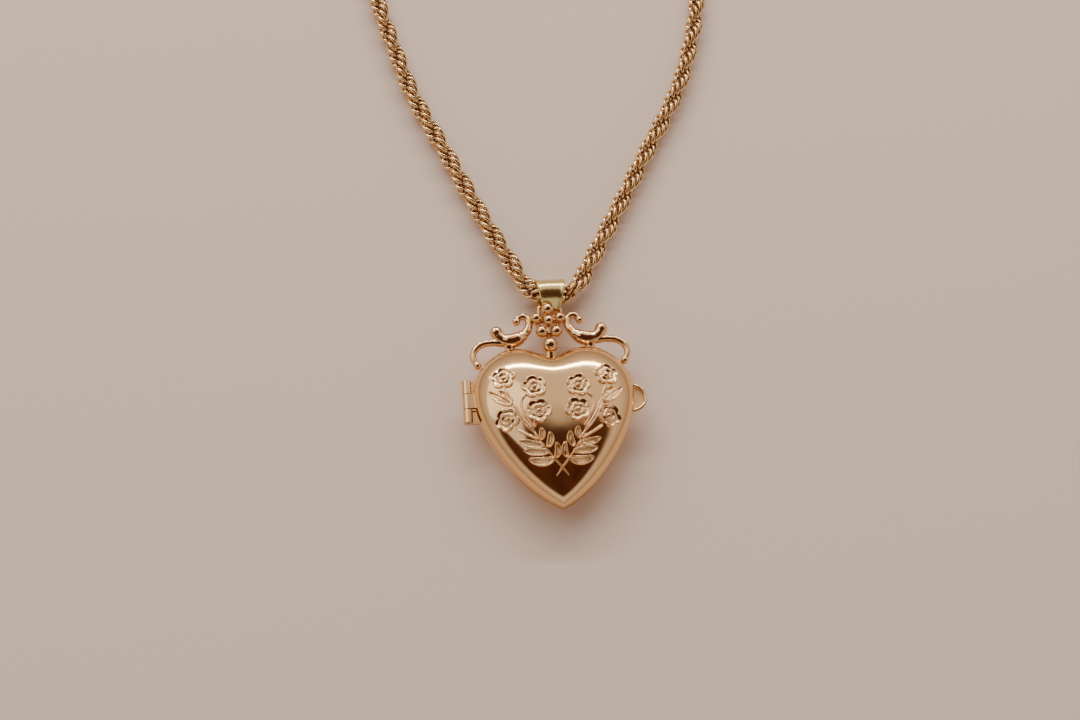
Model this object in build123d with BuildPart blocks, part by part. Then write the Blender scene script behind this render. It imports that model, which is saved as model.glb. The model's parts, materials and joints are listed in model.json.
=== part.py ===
"""Heart locket pendant on a rope chain, lying on its back with the chain laid out above it.

+Z points out of the locket's front, +Y towards the bail and +X to the wearer's left.
The origin is the middle of the flat on the locket's back. All sizes are in millimetres.
"""
from build123d import *
import os
from math import cos, pi, radians, sin, tan

# ---- locket ----
HEART_MIDDLE = (0, 1)          # the point that the dome rises to
PARTING_Z = 3.0                # plane where the two halves meet
RIM_GAP = 0.08                 # each rim stands this far back from the parting plane
FRONT_RISE = 4.05              # height of the front dome over the parting plane
SHELL_WALL = 0.45
HEART_RIGHT = [(0, -11.0), (4.0, -8.2), (8.0, -3.2), (10.8, 3.4), (10.0, 9.4), (5.6, 12.5), (0, 11.0)]
TIP_DIRECTION = (1, 0.45)
CLEFT_DIRECTION = (-1, -0.35)
FRAME_THICKNESS = 0.6
FRAME_OUTER, FRAME_INNER = 0.925, 0.74     # shares of the heart's outline
WINDOW_OUTER, CARD_OUTER = 0.89, 0.87
WINDOW_THICKNESS = 0.25
CARD_THICKNESS = 0.2
FRAME_SETBACK = 0.15           # each photo frame stands this far inside the parting plane

# ---- hinge on the left, nail tab and snap on the right ----
HINGE_X = -11.85
HINGE_RADIUS = 0.65
HINGE_PIN_RADIUS = 0.3
HINGE_RUNNING_GAP = 0.04
HINGE_JOINTS = [1.8, 3.8, 6.0, 8.1]   # the knuckles' ends along Y
KNUCKLE_GAP = 0.12
LEAF_THICKNESS = 0.55
LEAF_END_X = -9.8
TAB_CENTRE = (10.5, 4.5)
TAB_RADIUS = 2.15
TAB_THICKNESS = 0.5
TAB_RIM_WIDTH = 0.45
SNAP_CENTRE = (10.35, 5.0)
SNAP_SIZE = (0.16, 1.6)
SNAP_BOTTOM, SNAP_TOP = 2.0, 3.25

# ---- crest ----
CREST_BOTTOM, CREST_TOP = 2.1, 3.5
BACKING_THICKNESS = 1.1
BACKING_RIGHT = [(1.9, 17.4), (1.6, 14.9), (0.55, 13.9), (0.55, 11.5)]
STALK_LENGTH = 1.2             # from the cleft down the rear shell
BEADS = [(0, 18.35, 0.62, 3.95), (-1.67, 17.05, 0.6, 3.45), (0, 16.6, 0.58, 3.45), (1.67, 17.05, 0.6, 3.45),
         (-1.06, 15.0, 0.74, 3.45), (1.06, 15.0, 0.74, 3.45), (0, 12.95, 0.92, 3.3)]
BEAD_POST = (0.8, 0.8, 1.4)    # block under the top bead
SCROLL_WIRE = 0.85
LEAF_WIDTH = 1.25
CURL_BALL, LEAF_BALL, OUTER_BALL = 0.55, 0.85, 0.5
SCROLL_FOOT = (5.65, 12.75)
SCROLL_FOOT_SIZE = 1.3
INNER_CURL = [(4.4, 16.9), (3.6, 17.5), (2.75, 16.7), (3.1, 15.3), (4.3, 14.1), (5.7, 13.2)]
LEAF_BODY = [(4.3, 14.1), (5.7, 13.9), (6.8, 14.4), (7.3, 15.2)]
OUTER_SCROLL = [(5.7, 13.3), (7.5, 13.7), (9.3, 13.5), (10.5, 12.4), (10.6, 11.2), (10.15, 10.4)]

# ---- bail and the eye that holds it ----
BAIL_X = 0.7
EYE_X = 0.4
EYE_BAR_Y = 19.45              # middle of the bar that the bail swings on
EYE_BAR_WIDTH = 0.5
EYE_HOLE = (2.6, 1.35)
EYE_BOTTOM, EYE_TOP = 1.95, 2.65
BAIL_WALL = 0.4
BAIL_BLANK = 4.4                # width of the strip before its sides are tapered
BAIL_FOOT_RADIUS = 1.0         # outside, round the eye's bar
BAIL_HEAD_RADIUS = 2.15        # outside, round the chain
BAIL_HEAD_Y = 21.2
BAIL_Z = 2.3
BAIL_FRONT_RIGHT = [(1.98, 23.6), (1.72, 21.6), (1.42, 19.8), (0.85, 19.0), (0.8, 18.2)]

# ---- chain ----
CHAIN_DIAMETER = 2.5
CHAIN_LIE = CHAIN_DIAMETER / 2
CHAIN_ROUTE = [
    (6.0, 100.0, 1.5), (6.0, 94.8, 1.5), (6.1, 83.2, CHAIN_LIE), (1.0, 78.2, CHAIN_LIE),
    (-6.2, 78.2, CHAIN_LIE), (-11.2, 83.2, CHAIN_LIE), (-11.6, 97.0, CHAIN_LIE),
    (-10.7, 115.0, CHAIN_LIE), (-11.2, 131.0, CHAIN_LIE), (-10.7, 144.9, CHAIN_LIE),
    (-15.5, 149.8, CHAIN_LIE), (-22.4, 149.8, CHAIN_LIE), (-27.2, 144.9, CHAIN_LIE),
    (-26.9, 131.0, CHAIN_LIE), (-26.0, 112.0, CHAIN_LIE), (-25.5, 96.0, CHAIN_LIE),
    (-23.5, 83.5, CHAIN_LIE), (-21.6, 72.0, CHAIN_LIE), (-19.1, 62.6, CHAIN_LIE),
    (-17.1, 55.4, CHAIN_LIE), (-13.5, 47.4, CHAIN_LIE), (-10.8, 41.1, CHAIN_LIE), (-7.6, 33.5, 1.35),
    (-4.4, 26.8, 1.65), (-1.9, 21.05, 2.2), (3.9, 21.05, 2.2), (6.9, 26.6, 1.65), (10.2, 32.7, 1.35),
    (13.9, 39.5, CHAIN_LIE), (17.9, 46.9, CHAIN_LIE), (22.3, 54.7, CHAIN_LIE), (24.9, 61.9, CHAIN_LIE),
    (27.3, 71.0, CHAIN_LIE), (28.2, 84.0, CHAIN_LIE), (27.3, 101.0, CHAIN_LIE), (28.2, 119.0, CHAIN_LIE),
    (27.5, 135.0, CHAIN_LIE), (27.9, 147.2, CHAIN_LIE), (22.9, 152.3, CHAIN_LIE),
    (12.0, 152.6, CHAIN_LIE), (7.0, 147.5, CHAIN_LIE), (5.6, 140.3, CHAIN_LIE), (6.2, 131.4, CHAIN_LIE),
    (6.0, 126.4, 1.5), (6.0, 121.4, 1.5)]

# ---- clasp, in the middle lane above the locket ----
LANE_X = 6.0
LANE_Z = 1.5
CAP_RADIUS, CAP_LENGTH = 1.5, 3.6
LOOP_HOLE, LOOP_OUTER, LOOP_THICKNESS = 0.75, 1.3, 0.6
JUMP_RING_RADIUS, JUMP_RING_WIRE = 1.5, 0.35
CATCH_RING_RADIUS, CATCH_RING_WIRE = 2.1, 0.33
CLASP_RADIUS, CLASP_TUBE, CLASP_BORE = 2.5, 0.6, 0.42
CLASP_GAP = (20, 70)           # degrees round the ring from +X, the opening that the bolt closes
BOLT_RADIUS = 0.38
BOLT_ENDS = (-30, 78)
BOLT_TRAVEL = 52
KNOB_ANGLE = -5
KNOB_NECK_RADIUS, KNOB_NECK_LENGTH = 0.3, 0.65
KNOB_RADIUS, KNOB_LENGTH, KNOB_STAND_OFF = 0.5, 0.6, 0.2
KNOB_SLOT_WIDTH = 0.74
KNOB_SLOT_MARGIN = 9           # degrees that the slot runs past the knob at each end of its travel
SPRING_BORE = 0.22
SPRING_ENDS = (-130, -31)


def heart_edges(shrink):
    """Return the heart outline's edges, shrunk about the heart's middle."""
    points = [(HEART_MIDDLE[0] + shrink * (x - HEART_MIDDLE[0]), HEART_MIDDLE[1] + shrink * (y - HEART_MIDDLE[1]))
              for x, y in HEART_RIGHT]
    with BuildLine() as outline:
        right_side = Spline(*points, tangents=[TIP_DIRECTION, CLEFT_DIRECTION])
        mirror(right_side, about=Plane.YZ)
    return outline.edges()


def dome_levels(rim_height, rim_shrink, top_height):
    """Return (height, shrink) pairs for a puffed dome, steep at its rim and flat at its crown."""
    levels = []
    for angle in range(0, 91, 9):
        slope = radians(min(angle, 86))
        levels.append((rim_height + (top_height - rim_height) * sin(slope) ** 0.95, rim_shrink * cos(slope) ** 0.75))
    return levels


def heart_dome(levels):
    """Loft one heart per (height, shrink) pair into a dome."""
    with BuildPart() as dome:
        for height, shrink in levels:
            with BuildSketch(Plane.XY.offset(height)):
                make_face(heart_edges(shrink))
        loft(ruled=True)
    return dome


def save(piece, name):
    """Label one finished piece and write it as its own STEP file."""
    piece.part.label = name
    export_step(piece.part, f"parts/{name}.step")


os.makedirs("parts", exist_ok=True)

# ======================================================================= locket shells
REAR_RIM = PARTING_Z - RIM_GAP
FRONT_RIM = PARTING_Z + RIM_GAP
REAR_OUTSIDE = [(0, 0.62), (0.4, 0.77), (1.0, 0.885), (1.8, 0.962), (2.4, 0.99), (REAR_RIM, 1.0)]
REAR_INSIDE = [(0.5, 0.58), (0.85, 0.73), (1.2, 0.83), (1.85, 0.915), (2.4, 0.943), (PARTING_Z, 0.953)]
FRONT_OUTSIDE = dome_levels(FRONT_RIM, 1.0, PARTING_Z + FRONT_RISE)
FRONT_INSIDE = dome_levels(PARTING_Z, 0.953, PARTING_Z + FRONT_RISE - SHELL_WALL)

rear_outside = heart_dome(REAR_OUTSIDE)
rear_inside = heart_dome(REAR_INSIDE)
front_outside = heart_dome(FRONT_OUTSIDE)
front_inside = heart_dome(FRONT_INSIDE)
with BuildPart() as rear_shell:
    add(rear_outside.part)
    add(rear_inside.part, mode=Mode.SUBTRACT)
save(rear_shell, "rear_shell")

with BuildPart() as front_shell:
    add(front_outside.part)
    add(front_inside.part, mode=Mode.SUBTRACT)
save(front_shell, "front_shell")


# ======================================================================= photo frames, windows and cards
def photo_layers(side, first_face, direction):
    """Make one half's frame, window and card, stacked from the parting plane into the shell."""
    frame_plane = Plane.XY.offset(min(first_face, first_face + direction * FRAME_THICKNESS))
    with BuildPart() as photo_frame:
        with BuildSketch(frame_plane):
            make_face(heart_edges(FRAME_OUTER))
        extrude(amount=FRAME_THICKNESS)
        with BuildSketch(frame_plane):
            make_face(heart_edges(FRAME_INNER))
        extrude(amount=FRAME_THICKNESS, mode=Mode.SUBTRACT)
    save(photo_frame, f"{side}_photo_frame")

    window_face = first_face + direction * FRAME_THICKNESS
    with BuildPart() as window:
        with BuildSketch(Plane.XY.offset(min(window_face, window_face + direction * WINDOW_THICKNESS))):
            make_face(heart_edges(WINDOW_OUTER))
        extrude(amount=WINDOW_THICKNESS)
    save(window, f"{side}_window")

    card_face = window_face + direction * WINDOW_THICKNESS
    with BuildPart() as card:
        with BuildSketch(Plane.XY.offset(min(card_face, card_face + direction * CARD_THICKNESS))):
            make_face(heart_edges(CARD_OUTER))
        extrude(amount=CARD_THICKNESS)
    save(card, f"{side}_photo_card")


photo_layers("rear", PARTING_Z - FRAME_SETBACK, -1)
photo_layers("front", PARTING_Z + FRAME_SETBACK, 1)


# ======================================================================= hinge
def knuckle(first, last, bore_radius, leaf_bottom, dome):
    """Make one barrel knuckle with the leaf that ties it to its shell."""
    start = HINGE_JOINTS[first] + KNUCKLE_GAP / 2
    length = HINGE_JOINTS[last] - HINGE_JOINTS[first] - KNUCKLE_GAP
    with BuildPart() as piece:
        with BuildSketch(Plane.XY.offset(leaf_bottom)):
            with Locations(((HINGE_X + LEAF_END_X) / 2, start + length / 2)):
                Rectangle(LEAF_END_X - HINGE_X, length)
        extrude(amount=LEAF_THICKNESS)
        add(dome.part, mode=Mode.SUBTRACT)
        with BuildSketch(Plane.XZ.offset(-start)):
            with Locations((HINGE_X, PARTING_Z)):
                Circle(HINGE_RADIUS)
        extrude(amount=-length)
        with BuildSketch(Plane.XZ.offset(-start)):
            with Locations((HINGE_X, PARTING_Z)):
                Circle(bore_radius)
        extrude(amount=-length, mode=Mode.SUBTRACT)
    return piece


lower_knuckle = knuckle(0, 1, HINGE_PIN_RADIUS, PARTING_Z - 0.1 - LEAF_THICKNESS, rear_outside)
upper_knuckle = knuckle(2, 3, HINGE_PIN_RADIUS, PARTING_Z - 0.1 - LEAF_THICKNESS, rear_outside)
with BuildPart() as rear_hinge_knuckles:
    add(lower_knuckle.part)
    add(upper_knuckle.part)
save(rear_hinge_knuckles, "rear_hinge_knuckles")

front_hinge_knuckle = knuckle(1, 2, HINGE_PIN_RADIUS + HINGE_RUNNING_GAP, PARTING_Z + 0.1, front_outside)
save(front_hinge_knuckle, "front_hinge_knuckle")

with BuildPart() as hinge_pin:
    with BuildSketch(Plane.XZ.offset(-HINGE_JOINTS[0])):
        with Locations((HINGE_X, PARTING_Z)):
            Circle(HINGE_PIN_RADIUS)
    extrude(amount=-(HINGE_JOINTS[3] - HINGE_JOINTS[0]))
save(hinge_pin, "hinge_pin")

# ======================================================================= nail tab and snap tongue
with BuildPart() as nail_tab:
    with BuildSketch(Plane.XY.offset(FRONT_RIM)):
        with Locations(TAB_CENTRE):
            Circle(TAB_RADIUS)
    extrude(amount=TAB_THICKNESS)
    with BuildSketch(Plane.XY.offset(FRONT_RIM + TAB_THICKNESS / 2)):
        with Locations(TAB_CENTRE):
            Circle(TAB_RADIUS - TAB_RIM_WIDTH)
    extrude(amount=TAB_THICKNESS, mode=Mode.SUBTRACT)
    add(front_outside.part, mode=Mode.SUBTRACT)
save(nail_tab, "nail_tab")

with BuildPart() as snap_tongue:
    with BuildSketch(Plane.XY.offset(SNAP_BOTTOM)):
        with Locations(SNAP_CENTRE):
            Rectangle(*SNAP_SIZE)
    extrude(amount=SNAP_TOP - SNAP_BOTTOM)
    add(rear_shell.part, mode=Mode.SUBTRACT)
save(snap_tongue, "snap_tongue")

# ======================================================================= crest: beads, scrolls and eye
with BuildPart() as crest_centre:
    # cast backing that joins the beads, with a stalk down into the heart's cleft
    with BuildSketch(Plane.XY.offset(CREST_BOTTOM)):
        with BuildLine():
            Polyline(*BACKING_RIGHT, *[(-x, y) for x, y in reversed(BACKING_RIGHT)], close=True)
        make_face()
    extrude(amount=BACKING_THICKNESS)
    stalk_half_width, stalk_top = BACKING_RIGHT[-1]
    with BuildSketch(Plane.XY.offset(CREST_BOTTOM)):
        with Locations((0, stalk_top + 0.3 - STALK_LENGTH / 2)):
            Rectangle(2 * stalk_half_width, STALK_LENGTH)
    extrude(amount=REAR_RIM - CREST_BOTTOM)
    # the eye, a flat loop whose far bar carries the bail
    eye_middle = EYE_BAR_Y - EYE_BAR_WIDTH / 2 - EYE_HOLE[1] / 2
    with BuildSketch(Plane.XY.offset(EYE_BOTTOM)):
        with Locations((EYE_X, eye_middle)):
            RectangleRounded(EYE_HOLE[0] + 2 * EYE_BAR_WIDTH, EYE_HOLE[1] + 2 * EYE_BAR_WIDTH, 1.0)
            RectangleRounded(EYE_HOLE[0], EYE_HOLE[1], 0.5, mode=Mode.SUBTRACT)
    extrude(amount=EYE_TOP - EYE_BOTTOM)
    with Locations((0, BEADS[0][1] - 0.6, 3.0)):
        Box(*BEAD_POST)
    for x, y, radius, height in BEADS:
        with Locations((x, y, height)):
            Sphere(radius)
    add(rear_outside.part, mode=Mode.SUBTRACT)
save(crest_centre, "crest_centre")


def scroll(side):
    """Make one scroll; side is 1 for the right and -1 for the left."""
    with BuildPart() as piece:
        for path, width in ((INNER_CURL, SCROLL_WIRE), (LEAF_BODY, LEAF_WIDTH), (OUTER_SCROLL, SCROLL_WIRE)):
            with BuildSketch(Plane.XY.offset(CREST_BOTTOM)):
                with BuildLine():
                    Spline(*[(side * x, y) for x, y in path])
                trace(line_width=width)
            extrude(amount=CREST_TOP - CREST_BOTTOM)
        with BuildSketch(Plane.XY.offset(CREST_BOTTOM)):
            for end, radius in ((INNER_CURL[0], CURL_BALL), (LEAF_BODY[-1], LEAF_BALL), (OUTER_SCROLL[-1], OUTER_BALL)):
                with Locations((side * end[0], end[1])):
                    Circle(radius)
        extrude(amount=CREST_TOP - CREST_BOTTOM)
        # foot soldered to the top of the rear shell, below the parting plane
        with BuildSketch(Plane.XY.offset(CREST_BOTTOM)):
            with Locations((side * SCROLL_FOOT[0], SCROLL_FOOT[1])):
                Rectangle(SCROLL_FOOT_SIZE, SCROLL_FOOT_SIZE)
        extrude(amount=REAR_RIM - CREST_BOTTOM)
        add(rear_outside.part, mode=Mode.SUBTRACT)
        add(crest_centre.part, mode=Mode.SUBTRACT)
    return piece


right_scroll = scroll(1)
save(right_scroll, "right_scroll")
left_scroll = scroll(-1)
save(left_scroll, "left_scroll")


# ======================================================================= bail
def bail_profile(wall):
    """Draw the folded strip's side view, a small round foot growing into a large round head."""
    with BuildSketch(Plane.YZ.offset(BAIL_X - BAIL_BLANK / 2)) as profile:
        with Locations((EYE_BAR_Y, BAIL_Z)):
            Circle(BAIL_FOOT_RADIUS - wall)
        with Locations((BAIL_HEAD_Y, BAIL_Z)):
            Circle(BAIL_HEAD_RADIUS - wall)
        make_hull()
    return profile.sketch


bail_outside = bail_profile(0)
bail_inside = bail_profile(BAIL_WALL)
with BuildPart() as bail:
    extrude(bail_outside, amount=BAIL_BLANK)
    extrude(bail_inside, amount=BAIL_BLANK, mode=Mode.SUBTRACT)
    with BuildSketch(Plane.XY):
        with BuildLine():
            Polyline(*[(BAIL_X + x, y) for x, y in BAIL_FRONT_RIGHT],
                     *[(BAIL_X - x, y) for x, y in reversed(BAIL_FRONT_RIGHT)], close=True)
        make_face()
    extrude(amount=2 * BAIL_Z + 1, mode=Mode.INTERSECT)
save(bail, "bail")

# ======================================================================= rope chain
points = [Vector(*p) for p in CHAIN_ROUTE]
radii = []
for before, here, after in zip(points, points[1:], points[2:]):
    run_in, run_out = here - before, after - here
    turn = run_in.get_angle(run_out)
    radii.append(0.45 * min(run_in.length, run_out.length) / tan(radians(turn / 2)))
    print(f"corner at {here.X:6.1f} {here.Y:6.1f}: turn {turn:5.1f}, radius {radii[-1]:7.1f}")

with BuildPart() as rope_chain:
    with BuildLine() as chain_line:
        FilletPolyline(*points, radius=radii)
    with BuildSketch(Plane(origin=points[0], z_dir=points[1] - points[0])):
        Circle(CHAIN_DIAMETER / 2)
    sweep()
chain_length = sum(edge.length for edge in chain_line.edges())
expected = chain_length * pi * (CHAIN_DIAMETER / 2) ** 2
print(f"chain {chain_length:.1f} mm, volume {rope_chain.part.volume:.1f}, section x length {expected:.1f}")
save(rope_chain, "rope_chain")

# ======================================================================= end caps and links
def crossing(ring_radius, ring_wire):
    """Distance along Y from an upright ring's middle to where its wire crosses the lane's height."""
    return (ring_radius ** 2 - (ring_radius + ring_wire - LANE_Z) ** 2) ** 0.5


CAP_A_END = CHAIN_ROUTE[0][1] + CAP_LENGTH
LOOP_REACH = LOOP_OUTER - 0.2                 # from a cap's end face to the middle of its loop
CAP_A_LOOP = CAP_A_END + LOOP_REACH
JUMP_RING_Y = CAP_A_LOOP + crossing(JUMP_RING_RADIUS, JUMP_RING_WIRE)
CLASP_EYE_Y = JUMP_RING_Y + crossing(JUMP_RING_RADIUS, JUMP_RING_WIRE)
CLASP_Y = CLASP_EYE_Y + LOOP_OUTER - 0.15 + CLASP_TUBE + CLASP_RADIUS
CATCH_RING_Y = CLASP_Y + CLASP_RADIUS + 0.45
CAP_B_LOOP = CATCH_RING_Y + crossing(CATCH_RING_RADIUS, CATCH_RING_WIRE)
CAP_B_END = CAP_B_LOOP + LOOP_REACH
print(f"second end cap's mouth at y = {CAP_B_END + CAP_LENGTH:.2f}, chain ends at {CHAIN_ROUTE[-1][1]:.2f}")


def end_cap(closed_end, direction):
    """Make one end cap; direction is +1 where its loop points up the lane, and -1 where it points down."""
    with BuildPart() as cap:
        with BuildSketch(Plane(origin=(LANE_X, closed_end, LANE_Z), z_dir=(0, -direction, 0))):
            Circle(CAP_RADIUS)
        extrude(amount=CAP_LENGTH)
        fillet(cap.edges().group_by(Axis.Y)[-1 if direction > 0 else 0], radius=0.7)
        with BuildSketch(Plane.XY.offset(LANE_Z - LOOP_THICKNESS / 2)):
            with Locations((LANE_X, closed_end + direction * LOOP_REACH)):
                Circle(LOOP_OUTER)
                Circle(LOOP_HOLE, mode=Mode.SUBTRACT)
        extrude(amount=LOOP_THICKNESS)
    return cap


lower_cap = end_cap(CAP_A_END, 1)
upper_cap = end_cap(CAP_B_END, -1)
with BuildPart() as end_caps:
    add(lower_cap.part)
    add(upper_cap.part)
save(end_caps, "end_caps")


def upright_ring(middle_y, radius, wire):
    """Make one round-wire ring that stands on its edge in the lane."""
    with BuildPart() as ring:
        with Locations(Plane(origin=(LANE_X, middle_y, radius + wire), z_dir=(1, 0, 0))):
            Torus(radius, wire)
    return ring


jump_ring = upright_ring(JUMP_RING_Y, JUMP_RING_RADIUS, JUMP_RING_WIRE)
save(jump_ring, "jump_ring")
catch_ring = upright_ring(CATCH_RING_Y, CATCH_RING_RADIUS, CATCH_RING_WIRE)
save(catch_ring, "catch_ring")


# ======================================================================= spring ring clasp
CLASP_MIDDLE = Vector(LANE_X, CLASP_Y, LANE_Z)
CLASP_AXIS = Axis(CLASP_MIDDLE, (0, 0, 1))


def round_section(angle):
    """Return the plane across the clasp's tube at an angle, with its x axis pointing outwards."""
    outwards = Vector(1, 0, 0).rotate(Axis.Z, angle)
    return Plane(origin=CLASP_MIDDLE, x_dir=outwards, z_dir=outwards.cross(Vector(0, 0, 1)))


with BuildPart() as clasp_ring:
    with BuildSketch(round_section(CLASP_GAP[1])):
        with Locations((CLASP_RADIUS, 0)):
            Circle(CLASP_TUBE)
            Circle(CLASP_BORE, mode=Mode.SUBTRACT)
    revolve(axis=CLASP_AXIS, revolution_arc=360 - (CLASP_GAP[1] - CLASP_GAP[0]))
    # slot that the bolt's knob runs in
    with BuildSketch(round_section(KNOB_ANGLE - BOLT_TRAVEL - KNOB_SLOT_MARGIN)):
        with Locations((CLASP_RADIUS + CLASP_TUBE, 0)):
            Rectangle(2 * (CLASP_TUBE - CLASP_BORE) + 0.5, KNOB_SLOT_WIDTH)
    revolve(axis=CLASP_AXIS, revolution_arc=BOLT_TRAVEL + 2 * KNOB_SLOT_MARGIN, mode=Mode.SUBTRACT)
    # eye that the jump ring passes through
    with BuildSketch(Plane.XY.offset(LANE_Z - LOOP_THICKNESS / 2)):
        with Locations((LANE_X, CLASP_EYE_Y)):
            Circle(LOOP_OUTER)
            Circle(LOOP_HOLE, mode=Mode.SUBTRACT)
    extrude(amount=LOOP_THICKNESS)
    with BuildSketch(round_section(SPRING_ENDS[0])):
        with Locations((CLASP_RADIUS, 0)):
            Circle(CLASP_BORE)
    revolve(axis=CLASP_AXIS, revolution_arc=BOLT_ENDS[1] - SPRING_ENDS[0], mode=Mode.SUBTRACT)
save(clasp_ring, "clasp_ring")

with BuildPart() as clasp_bolt:
    with BuildSketch(round_section(BOLT_ENDS[0])):
        with Locations((CLASP_RADIUS, 0)):
            Circle(BOLT_RADIUS)
    revolve(axis=CLASP_AXIS, revolution_arc=BOLT_ENDS[1] - BOLT_ENDS[0])
    knob_direction = Vector(1, 0, 0).rotate(Axis.Z, KNOB_ANGLE)
    with BuildSketch(Plane(origin=CLASP_MIDDLE + knob_direction * CLASP_RADIUS, z_dir=knob_direction)):
        Circle(KNOB_NECK_RADIUS)
    extrude(amount=CLASP_TUBE + KNOB_NECK_LENGTH)
    with BuildSketch(Plane(origin=CLASP_MIDDLE + knob_direction * (CLASP_RADIUS + CLASP_TUBE + KNOB_STAND_OFF),
                           z_dir=knob_direction)):
        Circle(KNOB_RADIUS)
    extrude(amount=KNOB_LENGTH)
save(clasp_bolt, "clasp_bolt")

with BuildPart() as clasp_spring:
    with BuildSketch(round_section(SPRING_ENDS[0])):
        with Locations((CLASP_RADIUS, 0)):
            Circle(BOLT_RADIUS)
            Circle(SPRING_BORE, mode=Mode.SUBTRACT)
    revolve(axis=CLASP_AXIS, revolution_arc=SPRING_ENDS[1] - SPRING_ENDS[0])
save(clasp_spring, "clasp_spring")
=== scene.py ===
"""Heart locket pendant on a rope chain: the shapes and finishes built round its CAD frame.

+Z points out of the locket's front, +Y towards the bail. Everything is in metres.
"""

import json
from math import atan2, copysign, cos, pi, radians, sin

import bmesh
import bpy
from bpy.props import FloatProperty, FloatVectorProperty, IntProperty, PointerProperty
from bpy.types import Operator, Panel, PropertyGroup
from mathutils import Matrix, Vector
from mathutils.bvhtree import BVHTree


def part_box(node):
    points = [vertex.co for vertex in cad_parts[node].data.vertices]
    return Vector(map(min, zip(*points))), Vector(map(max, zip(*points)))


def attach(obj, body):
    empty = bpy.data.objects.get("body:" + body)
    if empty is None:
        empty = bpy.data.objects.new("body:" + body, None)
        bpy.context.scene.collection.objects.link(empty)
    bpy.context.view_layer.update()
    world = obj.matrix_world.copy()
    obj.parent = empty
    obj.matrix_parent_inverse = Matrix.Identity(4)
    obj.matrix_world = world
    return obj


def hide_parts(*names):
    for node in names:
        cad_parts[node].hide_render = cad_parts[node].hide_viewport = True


bl_info = {
    "name": "Heart Locket Necklace",
    "version": (1, 0, 0),
    "blender": (4, 5, 0),
    "location": "3D View > Sidebar > Necklace",
    "description": "Builds a heart locket pendant with a scroll crest on a rope chain",
    "category": "Add Mesh",
}

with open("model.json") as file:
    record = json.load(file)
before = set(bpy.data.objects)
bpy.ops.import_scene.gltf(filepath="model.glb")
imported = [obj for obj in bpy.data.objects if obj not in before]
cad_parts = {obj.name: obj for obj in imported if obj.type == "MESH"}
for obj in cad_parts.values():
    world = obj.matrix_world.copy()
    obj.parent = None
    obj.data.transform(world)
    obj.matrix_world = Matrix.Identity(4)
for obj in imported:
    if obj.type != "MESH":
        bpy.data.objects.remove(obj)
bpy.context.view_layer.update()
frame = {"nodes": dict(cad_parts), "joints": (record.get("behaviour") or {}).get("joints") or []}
NODES = frame["nodes"]
JOINTS = {joint["name"]: Vector(joint["pos_m"]) for joint in frame["joints"]}
MM = 0.001

# Control points of the chain's line, from one end cap round to the other.
CHAIN_ROUTE = [
    (6.0, 100.0, 1.5), (6.0, 94.8, 1.5), (6.1, 83.2, 1.25), (1.0, 78.2, 1.25), (-6.2, 78.2, 1.25),
    (-11.2, 83.2, 1.25), (-11.6, 97.0, 1.25), (-10.7, 115.0, 1.25), (-11.2, 131.0, 1.25),
    (-10.7, 144.9, 1.25), (-15.5, 149.8, 1.25), (-22.4, 149.8, 1.25), (-27.2, 144.9, 1.25),
    (-26.9, 131.0, 1.25), (-26.0, 112.0, 1.25), (-25.5, 96.0, 1.25), (-23.5, 83.5, 1.25),
    (-21.6, 72.0, 1.25), (-19.1, 62.6, 1.25), (-17.1, 55.4, 1.25), (-13.5, 47.4, 1.25),
    (-10.8, 41.1, 1.25), (-7.6, 33.5, 1.35), (-4.4, 26.8, 1.65), (-1.9, 21.05, 2.2), (3.9, 21.05, 2.2),
    (6.9, 26.6, 1.65), (10.2, 32.7, 1.35), (13.9, 39.5, 1.25), (17.9, 46.9, 1.25), (22.3, 54.7, 1.25),
    (24.9, 61.9, 1.25), (27.3, 71.0, 1.25), (28.2, 84.0, 1.25), (27.3, 101.0, 1.25), (28.2, 119.0, 1.25),
    (27.5, 135.0, 1.25), (27.9, 147.2, 1.25), (22.9, 152.3, 1.25), (12.0, 152.6, 1.25),
    (7.0, 147.5, 1.25), (5.6, 140.3, 1.25), (6.2, 131.4, 1.25), (6.0, 126.4, 1.5), (6.0, 121.4, 1.5)]


def linear(hex_colour):
    """Turn an sRGB hex colour into linear red, green and blue."""
    values = [int(hex_colour[i:i + 2], 16) / 255 for i in (1, 3, 5)]
    return [v / 12.92 if v <= 0.04045 else ((v + 0.055) / 1.055) ** 2.4 for v in values]


# ----------------------------------------------------------------------------- sizes and colours
class NecklaceSizes(PropertyGroup):
    """Sizes of the pieces, in metres unless they say otherwise."""

    rope_diameter: FloatProperty(name="Rope diameter", default=0.0025, unit="LENGTH",
                                 description="Mean thickness of the rope chain")
    link_width: FloatProperty(name="Link width", default=0.0028, unit="LENGTH",
                              description="Width of each link over its wire, across the chain")
    link_wire: FloatProperty(name="Link wire", default=0.00054, unit="LENGTH",
                             description="Thickness of the wire that the chain's links are made of")
    link_step: FloatProperty(name="Link step", default=0.0008, unit="LENGTH",
                             description="Distance along the chain from one link to the next")
    link_turn: FloatProperty(name="Link turn", default=radians(30), unit="ROTATION",
                             description="How far each link is turned from the one before it")
    link_twist: FloatProperty(name="Link twist", default=radians(30), unit="ROTATION",
                              description="How far each end of a link is twisted against its middle")
    link_stretch: FloatProperty(name="Link stretch", default=1.05, min=1.0,
                                description="How much longer each link is than it is wide")
    cover_wall: FloatProperty(name="Cover wall", default=0.00045, unit="LENGTH",
                              description="Thickness of the locket's two covers")
    cover_steps: IntProperty(name="Cover steps", default=192, min=48,
                             description="Corners round each cover's outline")
    relief: FloatProperty(name="Relief height", default=0.00028, unit="LENGTH",
                          description="How far the wreath's highest lines stand off the dome")
    strip_wall: FloatProperty(name="Bail wall", default=0.0004, unit="LENGTH",
                              description="Thickness of the bail's strip")


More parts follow.
